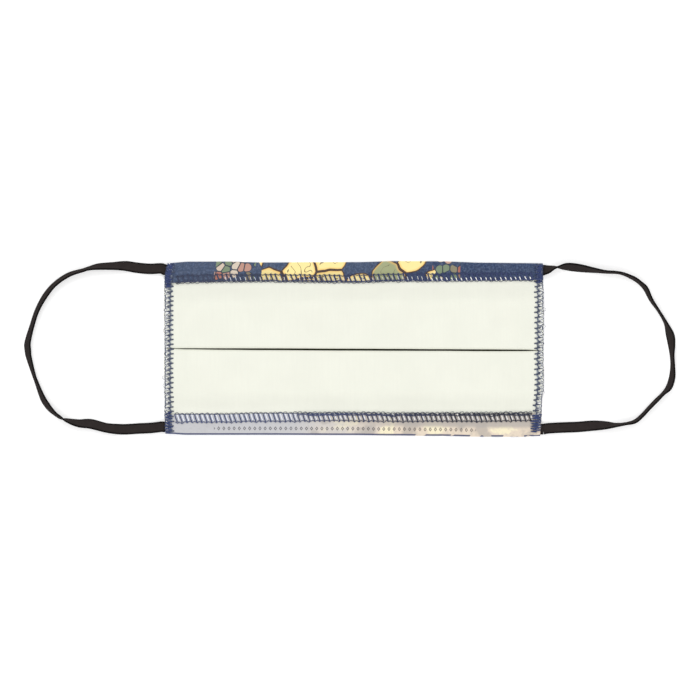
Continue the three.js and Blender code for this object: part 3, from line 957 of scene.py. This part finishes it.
def thicken(piece, thickness):
    """Gives a cloth its thickness to both sides, and smooth shading."""
    make_active(piece)
    bpy.ops.object.modifier_add(type="SOLIDIFY")
    solidify = piece.modifiers[-1]
    solidify.thickness = thickness
    solidify.offset = 0
    solidify.use_even_offset = True
    bpy.ops.object.modifier_apply(modifier=solidify.name)
    bpy.ops.object.shade_smooth_by_angle(angle=math.radians(50))


def dress(piece, material, slot, *nodes):
    piece.data.materials.clear()
    piece.data.materials.append(material)
    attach(piece, "root")
    if nodes:
        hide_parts(*nodes)


def smooth_value(a, b, c, d, t):
    """A smooth value from b to c, where a comes before them and d after them."""
    square = (2 * a - 5 * b + 4 * c - d) * t**2
    cube = (3 * b - a - 3 * c + d) * t**3
    return 0.5 * (2 * b + (c - a) * t + square + cube)


def smooth_through(points, steps):
    """A smooth line through points of any dimension, with a few steps from each to the next."""
    line = []
    for i in range(len(points) - 1):
        before = points[max(i - 1, 0)]
        after = points[min(i + 2, len(points) - 1)]
        around = (before, points[i], points[i + 1], after)
        for step in range(steps):
            line.append([smooth_value(*values, step / steps) for values in zip(*around)])
    line.append(list(points[-1]))
    return line


def band_half_height(roll, sizes):
    angle = math.radians(roll)
    wide = sizes.elastic_width * abs(math.sin(angle))
    thick = sizes.elastic_thickness * abs(math.cos(angle))
    return (wide + thick) / 2


def tail_points(side, panel, sizes):
    """The sewn-in end of a loop, from deep inside a hem out to the seam."""
    layers = Layers(0.0, sizes)
    tail = []
    for depth in (sizes.elastic_tail, sizes.elastic_tail / 2, 0, -TAIL_OUT):
        x = side * (HALF_WIDTH - depth)
        outline = outline_at((x + HALF_WIDTH) / (2 * HALF_WIDTH), sizes)
        edge = outline["top"] if panel > 0 else outline["bottom"]
        room = sizes.cloth + FOLD_ROOM + sizes.elastic_room
        y = panel * (edge - room - sizes.elastic_width / 2)
        lift = SEAM_LIFT * (1 - eased(depth / LIFT_REACH))
        tail.append((x, y, layers.hem_centre + lift, 0 if panel > 0 else 180))
    return tail


def loop_points(side, route, sizes):
    """The whole route of a loop, tails included: x, y, z and roll, in metres and degrees."""
    seam_z = Layers(0.0, sizes).hem_centre + SEAM_LIFT
    shrink = (seam_z - sizes.elastic_thickness / 2) / ROUTE_LIFT
    free = []
    for out, up, roll, lift in route:
        z = lift * MM * shrink + band_half_height(roll, sizes) + FLOOR_ROOM
        free.append((side * (HALF_WIDTH + out * MM), up * MM, z, roll))
    return [*tail_points(side, 1, sizes), *free, *tail_points(side, -1, sizes)[::-1]]


def band_section(sizes):
    """The elastic's section, counter-clockwise: shallow lengthwise ribs between rounded edges."""
    wide = sizes.elastic_width / 2
    thick = sizes.elastic_thickness / 2
    steps = RIBS * RIB_STEPS
    upper = []
    for step in range(steps + 1):
        share = step / steps
        across = wide * (1 - 2 * share)
        edge = max(0.0, abs(across) - (wide - thick)) / thick
        groove = RIB_DEPTH * (0.5 - 0.5 * math.cos(share * RIBS * 2 * math.pi))
        height = thick * math.sqrt(max(0.0, 1 - edge**2)) - groove
        upper.append((across, max(height, 0.0)))
    lower = [(-across, -height) for across, height in upper[1:-1]]
    return [*upper, *lower]


def band_mesh(name, side, line, section):
    """The flat elastic along its line, with a UV map across it and along it."""
    vertices = []
    flat = []
    run = 0.0
    for i, (x, y, z, roll) in enumerate(line):
        here = Vector((x, y, z))
        before = Vector(line[max(i - 1, 0)][:3])
        after = Vector(line[min(i + 1, len(line) - 1)][:3])
        along = (after - before).normalized()
        run += (here - before).length
        level = Vector((0, 0, 1)).cross(along).normalized()
        upright = along.cross(level)
        level = level * -side
        angle = math.radians(roll)
        across = level * math.cos(angle) + upright * math.sin(angle)
        through = upright * math.cos(angle) - level * math.sin(angle)
        for wide, thick in section:
            vertices.append(here + across * wide + through * thick)
            flat.append((wide, run))
    count = len(section)
    rings = len(line)
    faces = []
    for ring in range(rings - 1):
        for corner in range(count):
            beside = (corner + 1) % count
            a = ring * count
            b = (ring + 1) * count
            faces.append((a + corner, a + beside, b + beside, b + corner))
    faces.append(tuple(range(count - 1, -1, -1)))
    faces.append(tuple((rings - 1) * count + corner for corner in range(count)))
    return mapped_mesh(name, vertices, faces, flat)


def make_loop(name, side, route, sizes, material):
    points = loop_points(side, route, sizes)
    line = smooth_through(points, BAND_STEPS)
    mesh = band_mesh(f"elastic_{name}", side, line, band_section(sizes))
    piece = add_object(f"elastic_{name}", mesh)
    make_active(piece)
    bpy.ops.object.mode_set(mode="EDIT")
    bpy.ops.mesh.select_all(action="SELECT")
    bpy.ops.mesh.normals_make_consistent(inside=False)
    bpy.ops.object.mode_set(mode="OBJECT")
    bpy.ops.object.shade_smooth_by_angle(angle=math.radians(60))
    dress(piece, material, "elastic", f"ear_loop_{name}")
    return piece


def surface_height(cloths, x, y, from_below=False):
    """The height of the cloth at a place, seen from above or from below, or None beside it."""
    found = []
    start = -5 * MM if from_below else 20 * MM
    way = 1 if from_below else -1
    for cloth in cloths:
        hit, place, _, _ = cloth.ray_cast(Vector((x, y, start)), Vector((0, 0, way)))
        if hit:
            found.append(place.z)
    if not found:
        return None
    return min(found) if from_below else max(found)


def thread_object(name, lines, radius, material):
    """Threads along lines of places, as closed round strands in one mesh."""
    curve = bpy.data.curves.new(name, "CURVE")
    curve.dimensions = "3D"
    curve.bevel_depth = radius
    curve.bevel_resolution = 1
    curve.use_fill_caps = True
    for line in lines:
        spline = curve.splines.new("POLY")
        spline.points.add(len(line) - 1)
        for point, place in zip(spline.points, line):
            point.co = (*place, 1.0)
    piece = add_object(name, curve)
    make_active(piece)
    bpy.ops.object.convert(target="MESH")
    bpy.ops.object.shade_smooth()
    dress(piece, material, None)
    return piece


def stitch_line(strand, count, rng):
    """A strand repeated along a seam: places along it in pitches, inward and height in metres."""
    points = []
    first, last = strand.get("span", (0, 1))
    for stitch in range(int(count * first), int(count * last)):
        slide = rng.gauss(0, 0.045)
        reach = rng.gauss(0, 0.13)
        for along, inward, height in strand["points"]:
            shift = slide + rng.uniform(-0.025, 0.025)
            inset = inward + reach + rng.uniform(-0.07, 0.07)
            points.append((stitch + along + shift, inset * MM, height * MM))
    return smooth_through(points, 3)


def strand_lines(strand, count, pitch, rng):
    """A strand, or its two neighbours side by side, as lines for laying on a seam."""
    line = stitch_line(strand, count, rng)
    beside = strand.get("beside", 0) * MM / pitch
    if not beside:
        return [line]
    shifts = (-beside / 2, beside / 2)
    return [[(along + shift, inward, height) for along, inward, height in line] for shift in shifts]


def lay_on_hem(line, panel, pitch, start_x, radius, cloths, sizes):
    """Lays a stitched line along a hem's raw edge, on whatever cloth lies under each place."""
    places = []
    for along, inward, height in line:
        x = -panel * (start_x + along * pitch)
        outline = outline_at((x + HALF_WIDTH) / (2 * HALF_WIDTH), sizes)
        if panel > 0:
            y = outline["top"] - outline["top_hem"] + inward
        else:
            y = -outline["bottom"] + outline["bottom_hem"] - inward
        surface = surface_height(cloths, x, y) or 0.0
        places.append(Vector((x, y, surface + height + radius)))
    return soften(places, 0.5 * MM)


def soften(places, step):
    """Takes sudden jumps in height out of a line, as a tight thread spans them."""
    heights = [p.z for p in places]
    for i in range(1, len(heights) - 1):
        target = (heights[i - 1] + heights[i] + heights[i + 1]) / 3
        if abs(target - heights[i]) > step / 4:
            places[i].z = target
    return places


def lay_on_side(line, side, pitch, low, radius, cloths, from_below=False):
    """Lays a stitched line along a side seam, and round the cloth's edge where it passes it."""
    places = []
    for along, inward, height in line:
        y = -side * (low + along * pitch)
        edge = seam_x(side, y)
        inner_x = edge - side * max(inward, 0.25 * MM)
        top = surface_height(cloths, inner_x, y)
        bottom = surface_height(cloths, inner_x, y, from_below=True)
        if top is None or bottom is None:
            continue
        if inward < 0.1 * MM:
            z = bottom + (top - bottom) * (0.25 if from_below else 0.75)
        else:
            z = bottom - height - radius if from_below else top + height + radius
        places.append(Vector((edge - side * inward, y, max(z, radius))))
    return places


def stray_loop(stray, cloths):
    """A loose loop of thread that stands out of a side seam."""
    side = stray["side"]
    y = stray["up"] * MM
    edge = seam_x(side, y)
    z = surface_height(cloths, edge - side * 0.5 * MM, y) or 0.0
    reach = stray["reach"]
    points = [
        (0.8, -1.3, 0.3),
        (-0.1, -1.0, 0.1),
        (-reach, -0.3, -0.8),
        (-reach * 0.9, 0.5, -0.9),
        (0.1, 1.0, 0.0),
        (0.9, 1.2, 0.3),
    ]
    line = []
    for inward, up, height in smooth_through(points, 5):
        above_floor = max(z + height * MM, 0.2 * MM)
        line.append(Vector((edge - side * inward * MM, y + up * MM, above_floor)))
    return line


class MASK_OT_stage(bpy.types.Operator):
    """Make the pale floor, the soft studio light and the camera straight above the mask"""

    bl_idname = "mask.stage"
    bl_label = "Stage"

    def execute(self, context):
        colours = context.scene.mask_colours
        bpy.ops.mesh.primitive_plane_add(size=FLOOR_SIZE, location=(0, 0, 0))
        floor = context.active_object
        floor.name = "floor"
        floor.data.materials.append(floor_material(colours))
        world = bpy.data.worlds.new("studio")
        world.use_nodes = True
        background = world.node_tree.nodes["Background"]
        background.inputs["Color"].default_value = (1, 1, 1, 1)
        background.inputs["Strength"].default_value = SKY_STRENGTH
        context.scene.world = world
        for name, place, power in LAMPS:
            bpy.ops.object.light_add(type="AREA", location=place)
            lamp = context.active_object
            lamp.name = name
            lamp.data.size = LAMP_SIZE
            lamp.data.energy = power
            lamp.rotation_euler = (-Vector(place)).to_track_quat("-Z", "Y").to_euler()
        self.add_camera(context)
        context.scene.view_settings.view_transform = "Standard"
        return {"FINISHED"}

    def add_camera(self, context):
        middle = PHOTO_SIZE / 2
        x = (middle - PHOTO_MIDDLE[0]) / PIXELS_PER_MM * MM
        y = (PHOTO_MIDDLE[1] - middle) / PIXELS_PER_MM * MM
        bpy.ops.object.camera_add(location=(x, y, CAMERA_HEIGHT), rotation=(0, 0, 0))
        camera = context.active_object
        camera.name = "camera_above"
        camera.data.sensor_width = SENSOR_WIDTH
        camera.data.lens = SENSOR_WIDTH * CAMERA_HEIGHT / (PHOTO_SIZE / PIXELS_PER_MM * MM)
        camera.data.clip_end = 20
        context.scene.camera = camera


class MASK_OT_ear_loops(bpy.types.Operator):
    """Make both ear loops of flat elastic along their routes"""

    bl_idname = "mask.ear_loops"
    bl_label = "Ear Loops"

    def execute(self, context):
        sizes = context.scene.mask_sizes
        material = elastic_material(context.scene.mask_colours)
        make_loop("left", -1, LEFT_ROUTE, sizes, material)
        make_loop("right", 1, RIGHT_ROUTE, sizes, material)
        return {"FINISHED"}


class MASK_OT_front_cloth(bpy.types.Operator):
    """Make the printed front cloth with its box pleat and both hems"""

    bl_idname = "mask.front_cloth"
    bl_label = "Front Cloth"

    def execute(self, context):
        sizes = context.scene.mask_sizes
        mesh = cloth_mesh("front_cloth", front_course, sizes, FOLD_PLACE)
        piece = add_object("front_cloth", mesh)
        thicken(piece, sizes.cloth)
        cut = flat_cut(sizes, FOLD_PLACE)
        material = print_material(context.scene.mask_colours, cut)
        dress(piece, material, "printed_cloth", "front_panel")
        whole = cut + sizes.top_hem + sizes.bottom_hem
        return {"FINISHED"}


class MASK_OT_lining(bpy.types.Operator):
    """Make the white lining, pleated together with the front cloth"""

    bl_idname = "mask.lining"
    bl_label = "Lining"

    def execute(self, context):
        sizes = context.scene.mask_sizes
        mesh = cloth_mesh("white_lining", lining_course, sizes, 0)
        piece = add_object("white_lining", mesh)
        thicken(piece, sizes.cloth)
        dress(piece, lining_material(context.scene.mask_colours), "lining_cloth", "lining")
        flat_size = (2 * HALF_WIDTH, flat_cut(sizes, 0))
        return {"FINISHED"}


def gather(groups, strand, lines):
    """Adds lines to the group of strands that share a thread and a radius."""
    groups.setdefault((strand["thread"], strand["radius"]), []).extend(lines)


def make_threads(name, groups, materials):
    """One piece for every thread and radius of a seam."""
    for number, ((thread, radius), lines) in enumerate(groups.items()):
        thread_object(f"{name}_{thread}_{number + 1}", lines, radius * MM, materials[thread])


def thread_materials(colours, hem, far=None):
    """The threads of a seam by their names, with its own thread for the hem."""
    return {
        "hem": thread_material("hem_thread", hem, far),
        "side": thread_material("side_thread", colours.side_thread),
        "grey": thread_material("grey_thread", colours.grey_thread),
        "pale": thread_material("pale_thread", colours.pale_thread, colours.warm_thread),
        "white": thread_material("white_thread", colours.white_thread),
    }


def both_cloths():
    return [bpy.data.objects["front_cloth"], bpy.data.objects["white_lining"]]


class MASK_OT_hem_stitching(bpy.types.Operator):
    """Lay the overlock stitches along the raw edges of both hems"""

    bl_idname = "mask.hem_stitching"
    bl_label = "Hem Stitching"

    def execute(self, context):
        sizes = context.scene.mask_sizes
        colours = context.scene.mask_colours
        seams = (
            ("top_hem", 1, 3, colours.muted_thread, colours.thread, 0.86),
            ("bottom_hem", -1, 5, colours.light_thread, colours.dark_thread, 1.0),
        )
        for name, panel, seed, near, far, reach in seams:
            groups = self.lay_seam(sizes, panel, random.Random(seed), reach)
            make_threads(name, groups, thread_materials(colours, near, far))
        return {"FINISHED"}

    def lay_seam(self, sizes, panel, rng, reach):
        """The strands of one hem, narrowed to a share of their reach."""
        cloths = both_cloths()
        pitch = sizes.hem_pitch
        count = int((2 * HALF_WIDTH - 8 * MM) / pitch)
        start_x = -count * pitch / 2
        groups = {}
        for strand in HEM_STRANDS:
            if strand.get("hem", panel) != panel:
                continue
            radius = strand["radius"] * MM
            for line in strand_lines(strand, count, pitch, rng):
                line = [(along, inward * reach, height) for along, inward, height in line]
                laid = lay_on_hem(line, panel, pitch, start_x, radius, cloths, sizes)
                gather(groups, strand, [laid])
        return groups


class MASK_OT_side_stitching(bpy.types.Operator):
    """Lay the overlock stitches along both side seams"""

    bl_idname = "mask.side_stitching"
    bl_label = "Side Stitching"

    def execute(self, context):
        sizes = context.scene.mask_sizes
        colours = context.scene.mask_colours
        materials = thread_materials(colours, colours.thread)
        seams = (
            ("left_seam", -1, sizes.left_pitch, 11),
            ("right_seam", 1, sizes.right_pitch, 17),
        )
        for name, side, pitch, seed in seams:
            make_threads(name, self.lay_seam(side, pitch, random.Random(seed)), materials)
        return {"FINISHED"}

    def lay_seam(self, side, pitch, rng):
        """The strands of one side seam, some of them repeated below the cloth."""
        cloths = both_cloths()
        margin = 2.0 * MM
        low = -HALF_HEIGHT + margin
        count = int((2 * HALF_HEIGHT - 2 * margin) / pitch)
        groups = {}
        for strand in SIDE_STRANDS:
            radius = strand["radius"] * MM
            for line in strand_lines(strand, count, pitch, rng):
                gather(groups, strand, [lay_on_side(line, side, pitch, low, radius, cloths)])
                if strand.get("under"):
                    below = lay_on_side(line, side, pitch, low, radius, cloths, from_below=True)
                    gather(groups, strand, [below])
        return groups


class MASK_OT_corner_knots(bpy.types.Operator):
    """Lay the dense stitches where a side seam crosses a hem"""

    bl_idname = "mask.corner_knots"
    bl_label = "Corner Knots"

    def execute(self, context):
        material = thread_material("deep_thread", context.scene.mask_colours.deep_thread)
        for number, knot in enumerate(KNOTS):
            lines = self.lay_knot(knot, random.Random(23 + number))
            thread_object(f"corner_knot_{number + 1}", lines, KNOT_RADIUS, material)
        return {"FINISHED"}

    def lay_knot(self, knot, rng):
        """Two crowded strands, one of which reaches less far in."""
        side = knot["side"]
        pitch = knot["pitch"] * MM
        count = int((knot["high"] - knot["low"]) * MM / pitch)
        low = knot["low"] if side < 0 else -knot["high"]
        lines = []
        for reach in (knot["reach"], knot["reach"] * SHORT_REACH):
            points = [(0.0, 0.2, 0.3), (0.25, 1.4, 0.5), (0.5, reach, 0.25), (0.75, 1.7, 0.45)]
            line = []
            for along, inward, height in stitch_line({"points": points}, count, rng):
                along += rng.gauss(0, 0.1)
                inward += rng.gauss(0, 0.25) * MM
                line.append((along, inward, height))
            lines.append(lay_on_side(line, side, pitch, low * MM, KNOT_RADIUS, both_cloths()))
        return lines


class MASK_OT_stray_loops(bpy.types.Operator):
    """Make the loose loops of thread that stand out of the side seams"""

    bl_idname = "mask.stray_loops"
    bl_label = "Stray Loops"

    def execute(self, context):
        material = thread_material("side_thread", context.scene.mask_colours.side_thread)
        lines = [stray_loop(stray, both_cloths()) for stray in STRAYS]
        thread_object("stray_loops", lines, STRAY_RADIUS, material)
        return {"FINISHED"}


class MASK_PT_panel(bpy.types.Panel):
    """Sidebar panel that lists the mask's pieces"""

    bl_idname = "MASK_PT_panel"
    bl_label = "Pleated Cloth Mask"
    bl_space_type = "VIEW_3D"
    bl_region_type = "UI"
    bl_category = "Mask"

    def draw(self, context):
        for operator in MAKING_ORDER:
            self.layout.operator(operator.bl_idname)


MAKING_ORDER = [
    MASK_OT_stage,
    MASK_OT_ear_loops,
    MASK_OT_front_cloth,
    MASK_OT_lining,
    MASK_OT_hem_stitching,
    MASK_OT_side_stitching,
    MASK_OT_corner_knots,
    MASK_OT_stray_loops,
]
CLASSES = [MaskSizes, MaskColours, *MAKING_ORDER, MASK_PT_panel]


def register():
    for item in CLASSES:
        bpy.utils.register_class(item)
    bpy.types.Scene.mask_sizes = bpy.props.PointerProperty(type=MaskSizes)
    bpy.types.Scene.mask_colours = bpy.props.PointerProperty(type=MaskColours)


def unregister():
    del bpy.types.Scene.mask_colours
    del bpy.types.Scene.mask_sizes
    for item in reversed(CLASSES):
        bpy.utils.unregister_class(item)


def main():
    register()
    bpy.ops.mask.stage()
    bpy.ops.mask.ear_loops()
    bpy.ops.mask.front_cloth()
    bpy.ops.mask.lining()
    bpy.ops.mask.hem_stitching()
    bpy.ops.mask.side_stitching()
    bpy.ops.mask.corner_knots()
    bpy.ops.mask.stray_loops()


if __name__ == "__main__":
    main()
